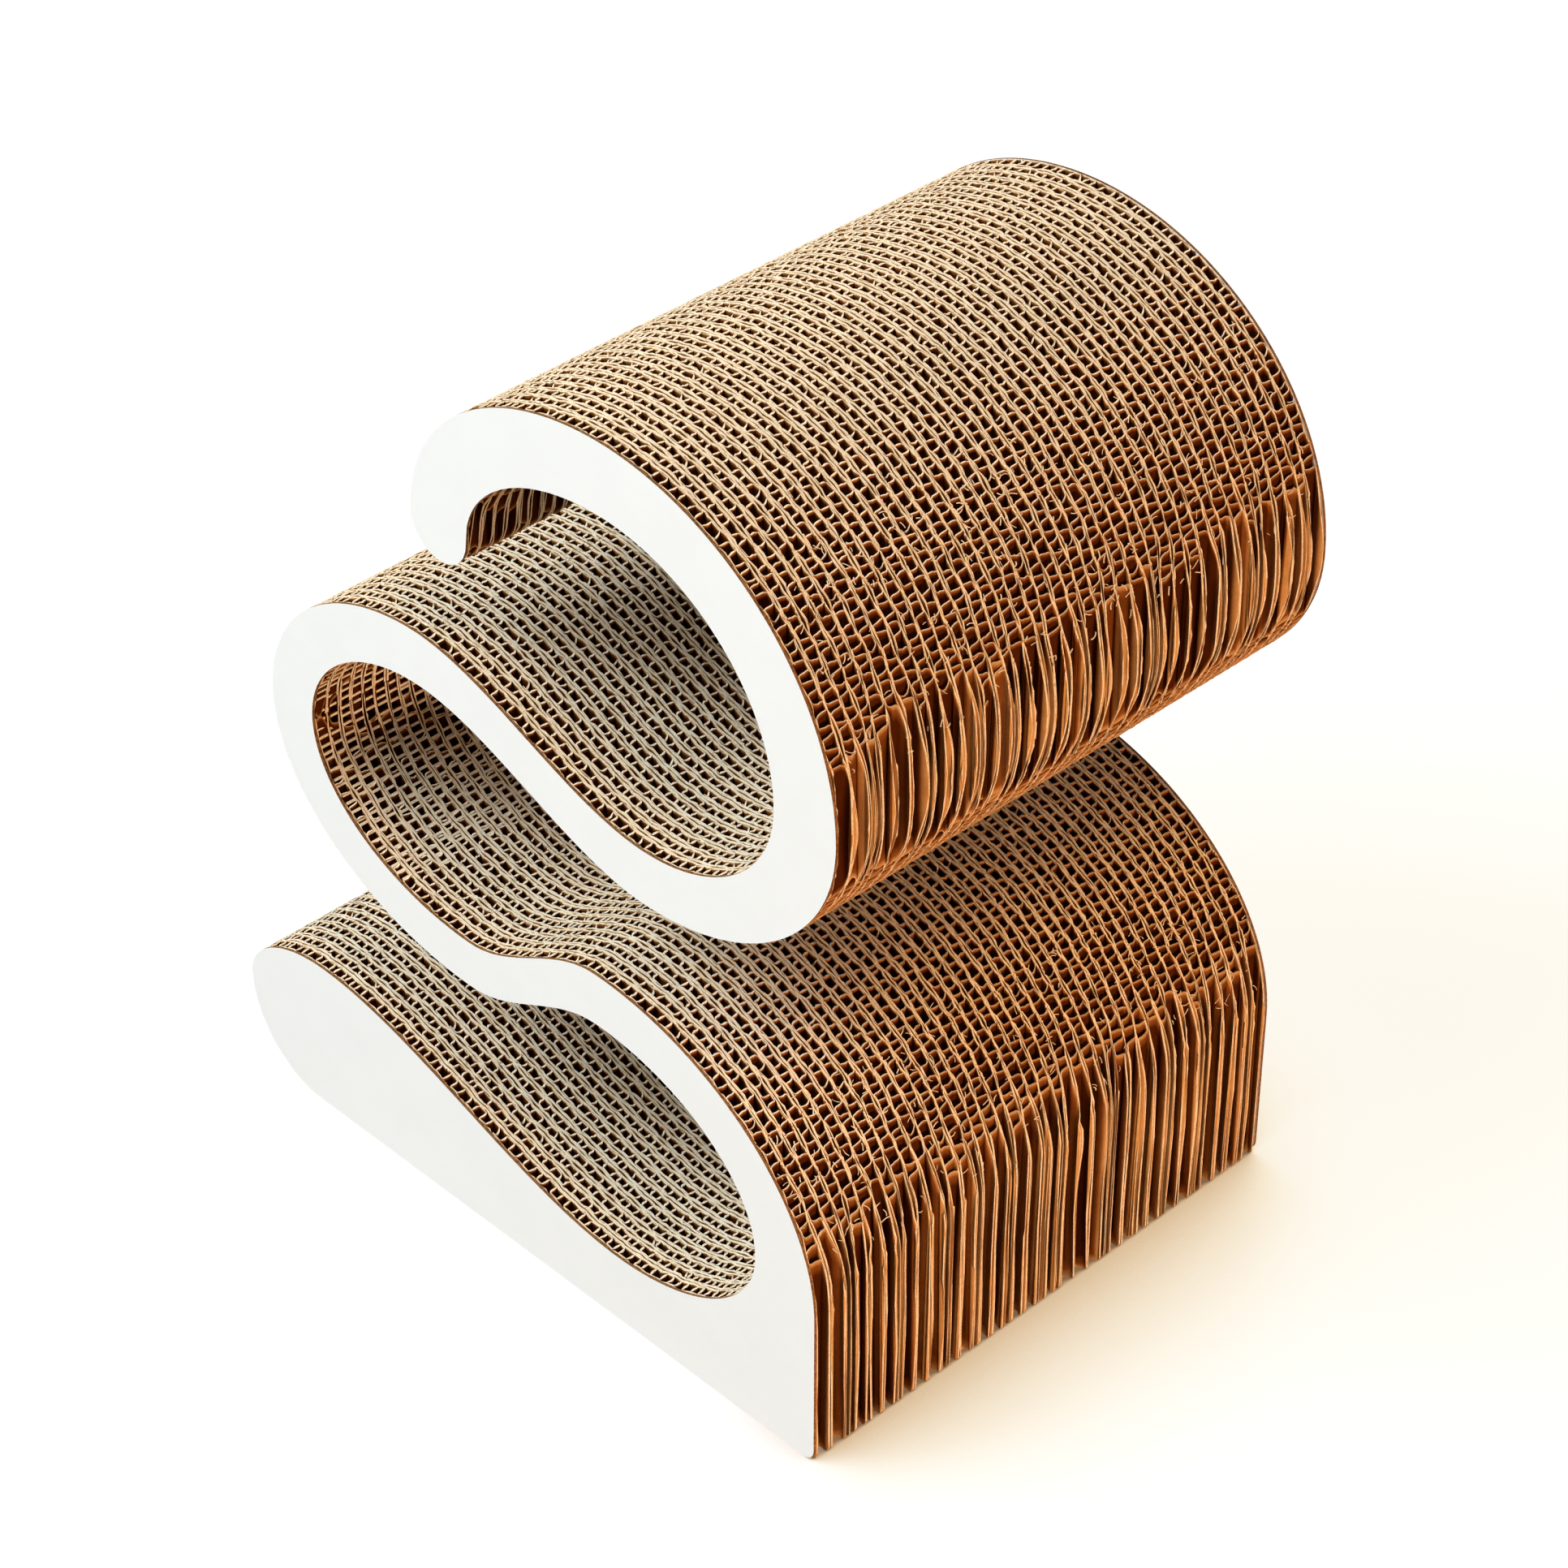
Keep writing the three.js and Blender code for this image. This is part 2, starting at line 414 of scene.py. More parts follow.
def wave_outline(wall_corner):
    """The die's outline as (x, z) rows, anticlockwise from the foot, with its box centred on x = 0."""
    lower_floor = BASE_THICKNESS
    lower_ceiling = lower_floor + LOWER_HOLLOW_HEIGHT
    hump_top = lower_ceiling + BAND_THICKNESS
    dip_top = hump_top - HUMP_DROP
    saddle_underside = hump_top + WAIST_GAP
    upper_floor = saddle_underside + BAND_THICKNESS
    left_crest_underside = saddle_underside + SADDLE_RISE
    upper_ceiling = upper_floor + UPPER_HOLLOW_HEIGHT
    left_turn_level = dip_top + LEFT_TURN_RISE
    upper_turn_level = upper_floor + UPPER_TURN_RISE
    hook_end_level = upper_ceiling - HOOK_FALL
    wall_x = LOWER_TURN_REACH + LEG_THICKNESS
    left_turn_inner_x = -LEFT_CREST_REACH - LEFT_TURN_DEPTH
    hook_end_x = -HOOK_REACH - HOOK_THICKNESS
    wedge_tip_x = -WEDGE_CREST_REACH - WEDGE_TIP_DEPTH
    points = [np.array([[wedge_tip_x + WEDGE_UNDERCUT, 0]], float)]
    for move in (
        ("line", wall_x - wall_corner, 0),
        ("to_upright", wall_x, wall_corner),
        ("line", wall_x, WALL_HEIGHT),
        ("to_level", -HUMP_REACH, hump_top),
        ("bend", -DIP_REACH, dip_top),
        ("to_upright", left_turn_inner_x, left_turn_level),
        ("to_level", -LEFT_CREST_REACH, left_crest_underside),
        ("bend", TROUGH_REACH, saddle_underside),
        ("to_upright", UPPER_TURN_REACH + HOOK_THICKNESS, upper_turn_level),
        ("to_level", 0, upper_ceiling + HOOK_THICKNESS),
        ("to_upright", hook_end_x, hook_end_level),
        ("to_level", hook_end_x + HOOK_THICKNESS / 2, hook_end_level - HOOK_END_ROUND),
        ("to_upright", -HOOK_REACH, hook_end_level),
        ("to_level", 0, upper_ceiling),
        ("to_upright", UPPER_TURN_REACH, upper_turn_level),
        ("to_level", TROUGH_REACH, upper_floor),
        ("bend", -LEFT_CREST_REACH, left_crest_underside + BAND_THICKNESS),
        ("to_upright", left_turn_inner_x - BAND_THICKNESS, left_turn_level),
        ("to_level", -DIP_REACH, dip_top - DIP_THICKNESS),
        ("bend", -HUMP_REACH, lower_ceiling),
        ("to_upright", LOWER_TURN_REACH, lower_floor + LOWER_TURN_RISE),
        ("to_level", 0, lower_floor),
        ("bend", -WEDGE_CREST_REACH, lower_floor + WEDGE_RISE),
        ("to_upright", wedge_tip_x, WEDGE_TIP_LEVEL),
        ("to_level", wedge_tip_x + WEDGE_UNDERCUT, 0),
    ):
        points.append(carry_on(points[-1][-1], move))
    outline = np.vstack(points)[:-1]
    middle = (outline[:, 0].min() + outline[:, 0].max()) / 2
    return outline - (middle, 0)


def headings(outline):
    """The way a closed outline runs at each of its points, one long."""
    along = np.roll(outline, -1, axis=0) - np.roll(outline, 1, axis=0)
    return along / np.linalg.norm(along, axis=1)[:, None]


def one_way_runs(outline):
    """Splits a closed outline where it turns back along x. Each run is (x, z) with x growing."""
    first = np.argmin(outline[:, 0])
    x, z = np.vstack((np.roll(outline, -first, axis=0), outline[first])).T
    heading = np.sign(np.diff(x))
    turns = np.flatnonzero(heading[1:] != heading[:-1]) + 1
    runs = []
    for start, stop in zip((0, *turns), (*turns, len(x) - 1)):
        if heading[start] != 0:
            order = slice(None) if heading[start] > 0 else slice(None, None, -1)
            runs.append((x[start:stop + 1][order], z[start:stop + 1][order]))
    return runs


def stations_between(low, high, inner):
    """The inner stations that lie between low and high, with both ends and a few drawn close to them."""
    easing = END_STEP * np.arange(END_STATIONS) ** 2
    easing = easing[easing < (high - low) / 2]
    between = inner[(inner > low) & (inner < high)]
    return np.unique(np.concatenate((low + easing, between, high - easing)))


def upright_strips(outline):
    """Cuts the inside of an outline into strips: (low x, high x, floor run, ceiling run) each.

    Between neighbouring ends of the one-way runs the same runs lie over each other, so that, sorted by
    height, they pair up as floors and ceilings.
    """
    runs = one_way_runs(outline)
    ends = np.unique(np.round([end for x, _ in runs for end in (x[0], x[-1])], 3))
    strips = []
    for low, high in zip(ends[:-1], ends[1:]):
        middle = (low + high) / 2
        over = [run for run in runs if run[0][0] < middle < run[0][-1]]
        over.sort(key=lambda run: np.interp(middle, *run))
        strips += [(low, high, floor, ceiling) for floor, ceiling in zip(over[::2], over[1::2])]
    return strips


def depth_inside(points, outline):
    """How far points lie from an outline: the least of their distances to its straight pieces."""
    along = np.roll(outline, -1, axis=0) - outline
    offset = points[:, None] - outline
    share = np.clip((offset * along).sum(axis=2) / (along ** 2).sum(axis=1), 0, 1)
    return np.linalg.norm(offset - share[..., None] * along, axis=2).min(axis=1)


def ease(value, start, stop):
    """0 at start and 1 at stop, with level ends: 3 t squared less 2 t cubed."""
    share = np.clip((value - start) / (stop - start), 0, 1)
    return share * share * (3 - 2 * share)


def closing_ends(strip):
    """Whether a strip's floor and ceiling meet at its low end, and whether they do at its high end."""
    heights = [np.interp(end, *strip[3]) - np.interp(end, *strip[2]) for end in strip[:2]]
    return np.array(heights) < MEETING_HEIGHT


def upright_lines(x, strip, outline):
    """A strip's lines at stations x: floors, ceilings, closedness, and their middles' depth and painted
    shade.

    A flute is closed, 1, where the outline is level: the middle of its line is half the line deep. The nearer
    the outline is to upright, the more the flute lies open along its side, down to almost 0. A line that is
    tall because it passes the end of a hollow is as closed as its upper cut, by a power of the cut's cosine.
    The painted shade is half the line times its closedness, in units of a depth over which the painted shade
    grows: short in a closed flute, long in one that lies open on the outside.
    """
    floor, ceiling = np.interp(x, *strip[2]), np.interp(x, *strip[3])
    depth = depth_inside(np.column_stack((x, (floor + ceiling) / 2)), outline[::DEPTH_STRIDE])
    run_x, run_z = strip[3]
    slope = np.interp(x, (run_x[1:] + run_x[:-1]) / 2, np.diff(run_z) / np.diff(run_x))
    by_depth = 2 * depth / np.maximum(ceiling - floor, TIP_HEIGHT)
    closed = np.clip(np.maximum(by_depth, np.hypot(1, slope) ** -CUT_POWER), LEAST_CLOSED, 1)
    low, high = np.where(closing_ends(strip), OPEN_FLUTE_SHADE_DEPTH, HOLLOW_FLUTE_SHADE_DEPTH)
    opened = np.where(x < (strip[0] + strip[1]) / 2, low, high)
    # the depth over which shade is painted into the paper, by how open the flute lies
    shade_depth = CLOSED_FLUTE_SHADE_DEPTH + (opened - CLOSED_FLUTE_SHADE_DEPTH) * (1 - closed) ** OPENING_POWER
    painted_shade = closed * (ceiling - floor) / 2 / shade_depth
    return floor, ceiling, closed, depth, painted_shade


def speckle(x, z, salt):
    """Even random numbers from 0 to 1 that depend on the place alone: a sine's far decimals."""
    return np.modf(np.abs(np.sin(x * 12.9898 + z * 78.233 + salt) * 43758.5453))[0]


def ribbon(front, back, floor, ceiling, closed, painted_shade):
    """A closed strip of paper between two upright faces.

    front and back are (x, y) rows, one for each station. A station's section has four corners: front floor,
    front ceiling, back ceiling and back floor. A corner's row is x, y, z, its share of the way up (0 or 1),
    and its line's closedness and middle painted shade. Gives the corners, the quads, and which quads are cut
    edges.
    """
    across = np.stack((front, front, back, back), axis=1)
    levels = np.stack((floor, ceiling, ceiling, floor), axis=1)
    count = len(front)
    shares = np.tile((0.0, 1.0, 1.0, 0.0), (count, 1))
    lines = [np.tile(value[:, None], 4) for value in (closed, painted_shade)]
    corners = np.dstack((across, levels, shares, *lines)).reshape(-1, 6)
    side = np.arange(4)
    here = np.arange(count - 1)[:, None] * 4 + side
    beside = np.arange(count - 1)[:, None] * 4 + (side + 1) % 4
    walls = np.dstack((here, here + 4, beside + 4, beside)).reshape(-1, 4)
    ends = np.array((side, (count - 1) * 4 + side[::-1]))
    cut = np.append(np.tile((False, True, False, True), count - 1), (True, True))
    return corners, np.vstack((walls, ends)), cut


def joined(ribbons):
    """Several ribbons as one set of corners, quads and cut marks."""
    offsets = np.cumsum([0] + [len(corners) for corners, _, _ in ribbons[:-1]])
    corners = np.vstack([corners for corners, _, _ in ribbons])
    quads = np.vstack([quads + offset for (_, quads, _), offset in zip(ribbons, offsets)])
    cut = np.concatenate([cut for _, _, cut in ribbons])
    return corners, quads, cut


def trimmed(x, floor, ceiling, fray, salt):
    """A strip's floor and ceiling drawn in by a random part of fray, and never quite meeting."""
    low = floor + fray * speckle(x, floor, salt) ** 2
    high = ceiling - fray * speckle(x, ceiling, salt + 1) ** 2
    middle = (floor + ceiling) / 2
    return np.minimum(low, middle - LEAST_HALF), np.maximum(high, middle + LEAST_HALF)


def from_pair(pair, closed):
    """Between a pair's values: the first where flutes are cut along, the second where they are cut square."""
    return pair[0] + (pair[1] - pair[0]) * closed ** PAIR_POWER


def liner_faces(liner, x, floor, closed, depth):
    """The outer and inner faces of a liner, in y. It stands back from the board's edge most beside a gap.

    A liner is (edge in y, which way is inwards, calipers, recesses, wobble, salt). The recess is the
    square-cut one times closed squared, plus the other times (1 - closed) and a bell of the depth. Both faces
    sway by three sines of x, more where the cut slopes.
    """
    edge_y, inward, caliper, recess, wobble, salt = liner
    back = recess[1] * closed ** 2 + recess[0] * (1 - closed) * np.exp(-(depth / GAP_DEPTH) ** 2)
    first, second, third = (x / length for length in WOBBLE_LENGTHS)
    second = second + floor / WOBBLE_CLIMB
    sway = np.sin(first + salt) + np.sin(second + 2 * salt) + np.sin(third + 3 * salt) / 2
    outer = edge_y + inward * back + sway * wobble / 2 * (1 + SLOPE_WOBBLE * (1 - closed))
    return outer, outer + inward * from_pair(caliper, closed)


def flat_sheet(outline, liner, fray):
    """A flat sheet of the outline, a little torn at its cut edges, with less painted shade than open flutes
    have.
    """
    *_, wobble, salt = liner
    ribbons = []
    even = np.arange(outline[:, 0].min(), outline[:, 0].max(), LINER_STEP)
    for strip in upright_strips(outline):
        x = stations_between(*strip[:2], even)
        floor, ceiling, closed, depth, painted_shade = upright_lines(x, strip, outline)
        outer, inner = liner_faces(liner, x, floor, closed, depth)
        tear = (speckle(x, floor, salt + 5) - 0.5) * wobble * 2
        faces = np.sort((outer, inner + tear), axis=0)
        front, back = (np.column_stack((x, y)) for y in faces)
        low, high = trimmed(x, floor, ceiling, fray, salt)
        # open liners keep only part of the painted shade
        painted_shade *= closed + OPEN_LINER_SHADE_SHARE * (1 - closed)
        ribbons.append(ribbon(front, back, low, high, closed, painted_shade))
    return ribbons


def flank_line(low, high, rng):
    """The flutes' flanks from low to high: their centres, reaches and sideways bows.

    They come at uneven half pitches along a line that is level and then falls as the hook's outer quarter of
    an ellipse, so that they crowd where it is steep. Its slope at a share t of the quarter's half-axis is
    t / sqrt(1 - t squared) times the rise over the run.
    """
    run = UPPER_TURN_REACH + HOOK_THICKNESS
    rise = UPPER_HOLLOW_HEIGHT - UPPER_TURN_RISE + HOOK_THICKNESS
    x = np.linspace(low - FLUTE_PITCH, high, FLANK_LINE_POINTS)
    share = np.clip((x - high + run) / run, 0, STEEPEST_SHARE)
    length = np.cumsum(np.hypot(1, share / np.sqrt(1 - share ** 2) * rise / run)) * (x[1] - x[0])
    count = int(length[-1] / FLUTE_PITCH * 2)
    widths = FLUTE_PITCH / 2 * np.clip(rng.normal(1, FLUTE_UNEVENNESS, count), *FLUTE_WIDTHS)
    centres = np.interp(np.cumsum(widths), length, x)
    bows = rng.uniform(*FLANK_BOW, count) * np.gradient(centres) * 2 / FLUTE_PITCH
    return centres, rng.uniform(*FLANK_REACH, count), bows


def fluted_sheet(outline, front_liner, back_liner, flanks, channel, salt):
    """The medium: it lies on one liner, then on the other, and crosses at each flank as a bowed tanh curve.

    At a station n, t = tanh((n - c) / r) for the nearest flank's centre c and reach r. Its y goes from one
    liner to the other by t, with a sign that changes from flank to flank, and its x is n plus the flank's bow
    times 1 - t squared. Each face lies half a caliper from that curve along its normal, and the caliper
    grows by 1 - t squared too. No flank is left within the depth channel of an upright side, so that the
    flutes lie open as channels there. Flanks to the left of a strip that is open there are kept, and so the
    medium goes on from the strip before.
    """
    centres, reaches, bows = flanks
    inner = np.sort((centres[:, None] + reaches[:, None] * np.array(FLANK_STATIONS)).ravel())
    ribbons = []
    for strip in upright_strips(outline):
        station = stations_between(*strip[:2], inner)
        _, _, closed, depth, _ = upright_lines(np.clip(centres, *strip[:2]), strip, outline)
        before = centres < strip[0]
        kept = (closed > OPEN_CUT) | (depth > channel) | (before & ~closing_ends(strip)[0])
        line = centres[kept if kept.any() else before]
        nearest = np.searchsorted(centres, line)[np.abs(station[:, None] - line).argmin(axis=1)]
        turn = np.tanh((station - centres[nearest]) / reaches[nearest])
        x = np.clip(station + bows[nearest] * (1 - turn ** 2), *strip[:2])
        floor, ceiling, closed, depth, painted_shade = upright_lines(x, strip, outline)
        front = liner_faces(front_liner, x, floor, closed, depth)[1]
        back = liner_faces(back_liner, x, floor, closed, depth)[1]
        caliper = FLAT_CALIPER + (from_pair(FLUTE_CALIPER, closed) - FLAT_CALIPER) * (1 - turn ** 2)
        y = (front + back) / 2 + (back - front - FLAT_CALIPER) / 2 * turn * (1 - 2 * (nearest % 2))
        heading = np.gradient(np.column_stack((x, y)), axis=0)
        heading /= np.maximum(np.linalg.norm(heading, axis=1), TINY)[:, None]
        normal = np.column_stack((-heading[:, 1], heading[:, 0])) * caliper[:, None] / 2
        centre = np.column_stack((x, y))
        torn = TEAR_DEPTH * (speckle(centres[nearest], floor[0], salt) < TORN_SHARE) * (1 - turn ** 2)
        low, high = trimmed(x, floor + torn, ceiling - torn, FLUTE_FRAY, salt)
        ribbons.append(ribbon(centre - normal, centre + normal, low, high, closed, painted_shade))
    return ribbons


def cross_webs(outline, low_y, high_y, rng):
    """Small webs that close the flutes into cells where they lie open at the left end of the middle hollow.

    Each is a box across the board: half a caliper to either side along the outline, and inwards from it.
    """
    along = headings(outline)
    there = (along[:, 1] > WEB_STEEPNESS) & (outline[:, 0] < outline[:, 0].min() + WEB_REACH)
    place, along = outline[there], along[there]
    length = np.concatenate(([0], np.cumsum(np.linalg.norm(np.diff(place, axis=0), axis=1))))
    widths = FLUTE_PITCH / 2 * rng.normal(1, FLUTE_UNEVENNESS, int(length[-1] / FLUTE_PITCH * 2))
    at = np.cumsum(widths) - rng.uniform(0, FLUTE_PITCH / 2)
    at = at[(at > 0) & (at < length[-1])]
    place, along = (
        np.column_stack([np.interp(at, length, axis) for axis in rows.T])
        for rows in (place, along)
    )
    inward = np.column_stack((-along[:, 1], along[:, 0]))
    aside = along * FLUTE_CALIPER[1] / 2
    deep = inward * WEB_DEPTH
    mouth = inward * rng.uniform(0, FLUTE_FRAY, (len(at), 1))
    low, high = place - aside, place + aside
    section = np.stack((low + mouth, high + mouth, high + deep, low + deep), axis=1)
    section = np.concatenate((section, section), axis=1)
    y = np.tile(np.repeat((low_y, high_y), 4), (len(at), 1))
    shares = np.full(y.shape, 0.5)
    # painted shade: none at a web's mouth, dark at its deep corners
    dim = np.tile((0.0, 0.0, WEB_PAINTED_SHADE, WEB_PAINTED_SHADE), (len(at), 2))
    corners = np.dstack((section[..., 0], y, section[..., 1], shares, np.ones(y.shape), dim)).reshape(-1, 6)
    faces = np.array(((0, 1, 2, 3), (7, 6, 5, 4), (0, 4, 5, 1), (1, 5, 6, 2), (2, 6, 7, 3), (3, 7, 4, 0)))
    quads = (np.arange(len(at))[:, None, None] * 8 + faces).reshape(-1, 4)
    return corners, quads, np.tile((False, False, True, False, False, False), len(at))


def shreds(outline, low_y, high_y, rng):
    """Thin stray fibres over the cells of the slopes that face right: bowed bars across the cut surface.

    A fibre runs by t from -1/2 to 1/2 at an angle in the plane of the cut, and is lifted by 1 - 4 t squared.
    """
    along = headings(outline)
    steep = (along[:, 1] > SHRED_STEEPNESS[0]) & (along[:, 1] < SHRED_STEEPNESS[1])
    slope = np.flatnonzero(steep & (along[:, 0] < 0) & (outline[:, 0] > SHRED_LOW_X))
    chosen = rng.choice(slope, SHRED_COUNT)
    along = along[chosen]
    outward = np.column_stack((along[:, 1], -along[:, 0]))
    angle = rng.uniform(0, math.pi, (SHRED_COUNT, 1))
    t = np.linspace(-0.5, 0.5, SHRED_STATIONS)
    length = rng.uniform(*SHRED_LENGTH, (SHRED_COUNT, 1))
    bow = rng.uniform(-SHRED_BOW, SHRED_BOW, (SHRED_COUNT, 1)) * length * (1 - 4 * t ** 2)
    stray = rng.uniform(-SHRED_STRAY, SHRED_STRAY, (SHRED_COUNT, 1))
    run = length * t * np.cos(angle) - bow * np.sin(angle) + stray
    aside = length * t * np.sin(angle) + bow * np.cos(angle)
    lift = rng.uniform(0, SHRED_LIFT, (SHRED_COUNT, 1)) * (1 - 4 * t ** 2) - SHRED_SINK
    half = rng.uniform(*SHRED_CALIPER, (SHRED_COUNT, 1)) / 2
    sections = []
    for side, up in ((-1, -1), (-1, 1), (1, 1), (1, -1)):
        reach = run - side * half * np.sin(angle)
        y = aside + side * half * np.cos(angle)
        height = lift + up * half
        place = outline[chosen][:, None] + reach[..., None] * along[:, None]
        place = place + height[..., None] * outward[:, None]
        sections.append(np.dstack((place[..., 0], y, place[..., 1])))
    corners = np.stack(sections, axis=2)
    corners[..., 1] += rng.uniform(low_y, high_y, (SHRED_COUNT, 1, 1))
    corners = corners.reshape(-1, 3)
    plain = np.tile((0.0, 1.0, 0.0), (len(corners), 1))
    side = np.arange(4)
    first = np.arange(len(t) - 1)[:, None] * 4
    walls = np.dstack((first + side, first + side + 4, first + (side + 1) % 4 + 4, first + (side + 1) % 4))
    faces = np.vstack((walls.reshape(-1, 4), side, side[::-1] + 4 * (len(t) - 1)))
    quads = (np.arange(SHRED_COUNT)[:, None, None] * 4 * len(t) + faces).reshape(-1, 4)
    return np.hstack((corners, plain)), quads, np.ones(len(quads), bool)


def waver(corners, half_width):
    """Slow sideways sways of the glued stack, in y, which die out at its two flat ends."""
    x, y, z = corners[:, :3].T
    sway = sum(np.sin(x / along + z / up + y / across + turn) for along, up, across, turn in STACK_SWAYS)
    calm = 1 - np.abs(y / half_width) ** CALM_POWER
    return STACK_WAVER / 2 * sway * calm


def spread(corners, stack, sides):
    """How far the boards stand aside at the wave's two upright sides, in y: some gape and some are squeezed.

    stack is (edges of the boards in the flat stack, the same edges at the sides). The shift from the one to
    the other is weighed by a bell of the distance to a side, and eased out above each and below the hook's.
    """
    x, y, z = corners[:, :3].T
    wall, hook = (np.exp(-((x - side) / SPREAD_REACH) ** 2) for side in sides)
    wall *= 1 - ease(z, *WALL_SPREAD_TOP)
    hook *= ease(z, *HOOK_SPREAD_FOOT) * (1 - ease(z, *HOOK_SPREAD_TOP))
    return (wall + hook) * (np.interp(y, *stack) - y)


def corrugated_board(outline, edges, papers, stack, rng):
    """One board in millimetres: a fluted medium between two liners, all cut to the outline.

    The flutes lean a little from upright, so the strips are cut in coordinates that lean with them: x plus
    the lean times z. That is undone on the finished corners.
    """
    lean = FLUTE_LEAN * rng.uniform(*LEAN_SHARES) * rng.choice((-1, 1))
    salt = rng.uniform(0, 100)
    leaning = np.column_stack((outline[:, 0] + lean * outline[:, 1], outline[:, 1]))
    flanks = flank_line(leaning[:, 0].min(), leaning[:, 0].max(), rng)
    front = (edges[0], 1, *papers[0], LINER_WOBBLE, salt)
    back = (edges[1], -1, *papers[1], LINER_WOBBLE, salt + 10)
    ribbons = flat_sheet(leaning, front, LINER_FRAY) + flat_sheet(leaning, back, LINER_FRAY)
    ribbons += fluted_sheet(leaning, front, back, flanks, rng.uniform(*CHANNEL_DEPTH), salt + 20)
    corners, quads, cut = joined(ribbons)
    corners[:, 0] -= lean * corners[:, 2]
    webs = cross_webs(outline, edges[0] + WEB_INSET, edges[1] - WEB_INSET, rng)
    corners, quads, cut = joined([(corners, quads, cut), webs, shreds(outline, *edges, rng)])
    sides = (outline[outline[:, 1] <= WALL_HEIGHT, 0].max(), outline[:, 0].max())
    corners[:, 1] += waver(corners, stack[0][-1]) + spread(corners, stack, sides)
    return corners, quads, cut


def paper_piece(name, corners, quads, cut, materials):
    """A mesh piece from corners in millimetres: faces in the first material and cut edges in the second."""
    mesh = bpy.data.meshes.new(name)
    mesh.vertices.add(len(corners))
    mesh.vertices.foreach_set("co", (corners[:, :3] * MM).astype(np.float32).ravel())
    mesh.loops.add(quads.size)
    mesh.loops.foreach_set("vertex_index", quads.astype(np.int32).ravel())
    mesh.polygons.add(len(quads))
    mesh.polygons.foreach_set("loop_start", np.arange(0, quads.size, 4, dtype=np.int32))
    mesh.polygons.foreach_set("material_index", cut.astype(np.int32))
    for material in materials:
        mesh.materials.append(material)
    # the share up a line, its closedness and its painted shade, read by the paper's materials
    for column, attribute in ((3, "share"), (4, "closed"), (5, "middle_gloom")):
        values = mesh.attributes.new(attribute, "FLOAT", "POINT").data
        values.foreach_set("value", corners[:, column].astype(np.float32))
    mesh.update(calc_edges=True)
    mesh.validate()
    mesh.shade_smooth()
    mesh.set_sharp_from_angle(angle=math.radians(SHARP_ANGLE))
    made = bpy.data.objects.new(name, mesh)
    bpy.context.scene.collection.objects.link(made)
    return made


def fit(piece, node):
    """The piece stands for a CAD node and moves with the one body."""
    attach(piece, "root")
    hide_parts(node)


def side_stack(flat, rng):
    """The boards' edges in the flat stack and at the wave's upright sides, where one in three is squeezed."""
    groups = np.tile(SPREAD_SHARES, (len(flat) // len(SPREAD_SHARES), 1))
    shares = rng.permuted(groups, axis=1).ravel()[:len(flat) - 1]
    shares = shares * rng.normal(1, SPREAD_UNEVENNESS, len(shares))
    return flat, np.interp(np.append(0, np.cumsum(shares)), (0, shares.sum()), (flat[0], flat[-1]))


def build_boards(outline):
    """One corrugated piece for each board of the frame. A white sheet backs the outer liners of the stack."""
    rng = np.random.default_rng(SEED)
    materials = (kraft_face(), kraft_cut())
    liner = (LINER_CALIPER, LINER_RECESS)
    end_liner = (END_LINER_CALIPER, END_LINER_RECESS)
    nodes = sorted(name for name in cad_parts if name.startswith("board_"))
    edges = np.array([[corner.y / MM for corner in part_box(node)] for node in nodes])
    stack = side_stack(np.append(edges[:, 0], edges[-1, 1]), rng)
    for node, pair in zip(nodes, edges):
        papers = [end_liner if node == end else liner for end in (nodes[0], nodes[-1])]
        parts = corrugated_board(outline, pair, papers, stack, rng)
        fit(paper_piece(f"corrugated_{node}", *parts, materials), node)


def build_face_sheets(outline):
    """The white sheets that close the two ends of the stack."""
    materials = (white_face(), glued_edge())
    for node in ("front_face_sheet", "rear_face_sheet"):
        low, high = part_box(node)
        caliper = (high.y - low.y) / MM
        ribbons = flat_sheet(outline, (low.y / MM, 1, (caliper, caliper), (0, 0), 0, 0), 0)
        fit(paper_piece(f"white_{node}", *joined(ribbons), materials), node)


def build_camera():
    """The photograph's viewpoint: level horizon, aimed at a point in the middle of the wave."""
    azimuth, elevation = math.radians(CAMERA_AZIMUTH), math.radians(CAMERA_ELEVATION)
    level = math.cos(elevation)
    back = Vector((math.sin(azimuth) * level, -math.cos(azimuth) * level, math.sin(elevation)))
    camera = bpy.data.objects.new("camera", bpy.data.cameras.new("camera"))
    camera.data.sensor_width = SENSOR_WIDTH
    camera.data.lens = SENSOR_WIDTH * FOCAL_PIXELS / PHOTO_SIZE
    camera.location = (Vector(CAMERA_AIM) + back * CAMERA_DISTANCE) * MM
    camera.rotation_euler = (-back).to_track_quat("-Z", "Y").to_euler()
    bpy.context.scene.collection.objects.link(camera)
    bpy.context.scene.camera = camera


def build_lamp(name, place, aim, size, watts, colour):
    """An oblong area lamp, size wide and high, that points from place to aim. It isn't seen itself."""
    lamp = bpy.data.objects.new(name, bpy.data.lights.new(name, "AREA"))
    lamp.data.shape = "RECTANGLE"
    lamp.data.size, lamp.data.size_y = size
    lamp.data.energy = watts
    lamp.data.color = colour
    lamp.visible_camera = False
    lamp.location = place
    lamp.rotation_euler = (Vector(aim) - Vector(place)).to_track_quat("-Z", "Y").to_euler()
    bpy.context.scene.collection.objects.link(lamp)


def seen_directly(start):
    """1 for the camera's own rays, and for those that reach it off a gloss or through something clear."""
    kinds = ("Camera", "Glossy", "Transmission")
    camera, glossy, through = (start.node("ShaderNodeLightPath", output=f"Is {kind} Ray") for kind in kinds)
    return start.math("MAXIMUM", camera, start.math("MAXIMUM", glossy, through))


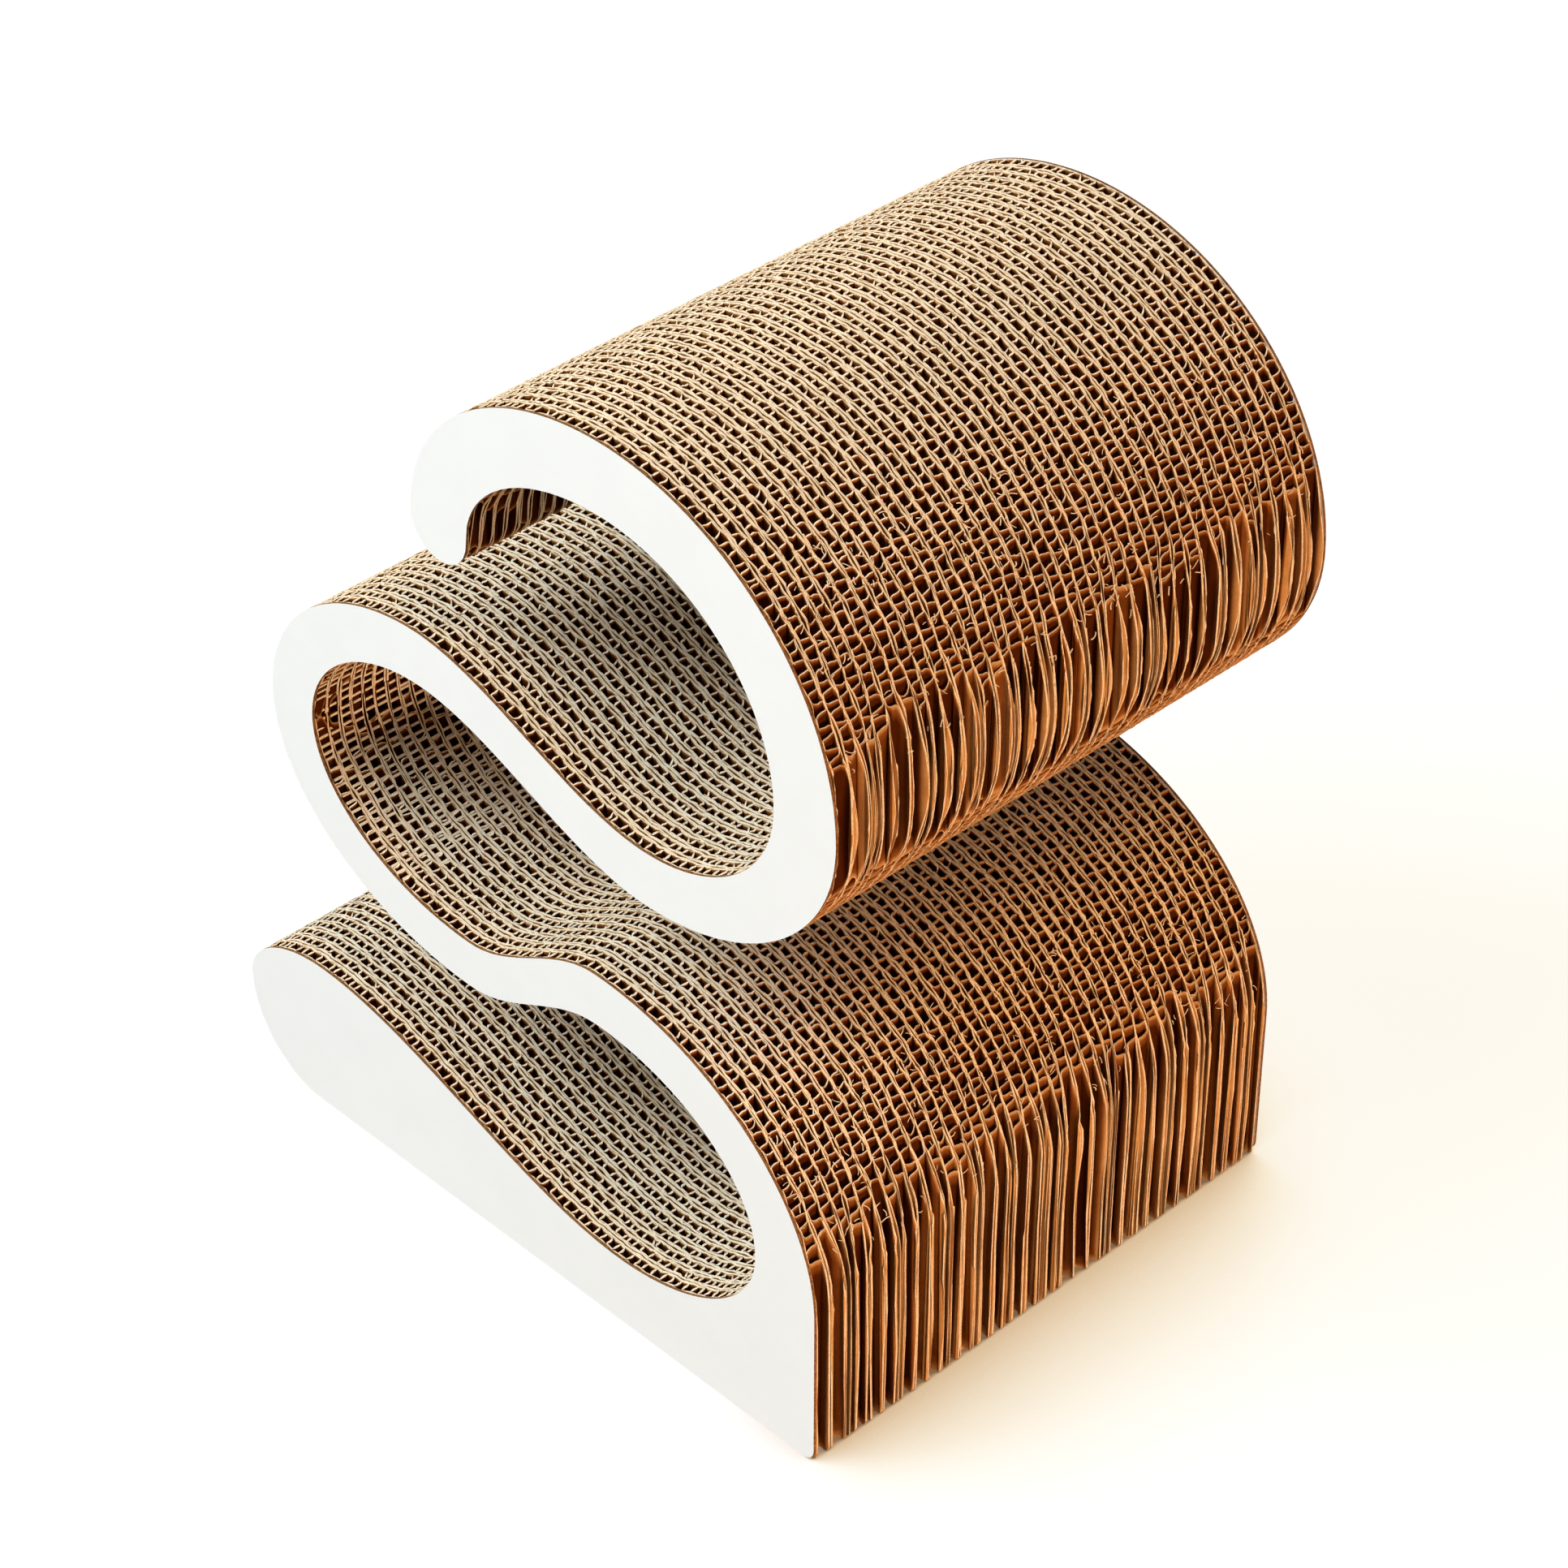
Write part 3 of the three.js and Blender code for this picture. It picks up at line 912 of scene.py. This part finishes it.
def build_world():
    """Soft warm light from all round, and plain white behind the object."""
    world = bpy.data.worlds.new("studio")
    world.use_nodes = True
    bpy.context.scene.world = world
    background = world.node_tree.nodes["Background"]
    start = Signal(world.node_tree)
    start.feed(background.inputs["Color"], seen_directly(start).blend(AMBIENT, WHITE))


def build_floor():
    """A wide white floor that keeps the object's shadow, with a warm shadow painted into its glow where the
    object stands close over it.
    """
    mesh = bpy.data.meshes.new("floor")
    corners = [(x * FLOOR_HALF, y * FLOOR_HALF, 0) for x, y in ((-1, -1), (1, -1), (1, 1), (-1, 1))]
    mesh.from_pydata(corners, [], [(0, 1, 2, 3)])
    floor = bpy.data.objects.new("floor", mesh)
    bpy.context.scene.collection.objects.link(floor)
    made, shader, start = new_material("floor_white")
    seen = seen_directly(start)
    settings = {"samples": FLOOR_SHADE_SAMPLES}
    sockets = {"Distance": FLOOR_SHADE_REACH}
    open_sky = start.node("ShaderNodeAmbientOcclusion", settings, sockets, output="AO")
    # painted shadow: warm browns where the object hems the floor in, pale in the open
    stops = (
        (0.3, (0.16, 0.08, 0.035, 1)),
        (0.46, (0.6, 0.4, 0.22, 1)),
        (0.69, (0.85, 0.74, 0.56, 1)),
        (0.84, FLOOR_PALE),
    )
    place = start.node("ShaderNodeTexCoord", output="Object")
    beside = 1.0
    for axis, low, high in FLOOR_SHADE_SIDES:
        along = start.node("ShaderNodeSeparateXYZ", {}, {0: place}, output=axis)
        beside = beside * along.eased(low, high)
    far = start.node("ShaderNodeVectorMath", {"operation": "LENGTH"}, {0: place}, output="Value")
    painted_shadow = beside.blend(FLOOR_PALE, open_sky.ramp(stops))
    glow = far.eased(*FLOOR_FADE).blend(painted_shadow, WHITE)
    start.feed(shader.inputs["Base Color"], seen.blend(FLOOR_BOUNCE, FLOOR_SEEN))
    start.feed(shader.inputs["Emission Color"], seen.blend(BLACK, glow))
    shader.inputs["Emission Strength"].default_value = 1
    make_matt(shader, 0.9)
    mesh.materials.append(made)


build_camera()
build_boards(wave_outline(BOARD_CORNER))
build_face_sheets(wave_outline(WALL_CORNER))
build_floor()
build_world()
for lamp in LAMPS:
    build_lamp(*lamp)

bpy.context.scene.view_settings.view_transform = "Standard"
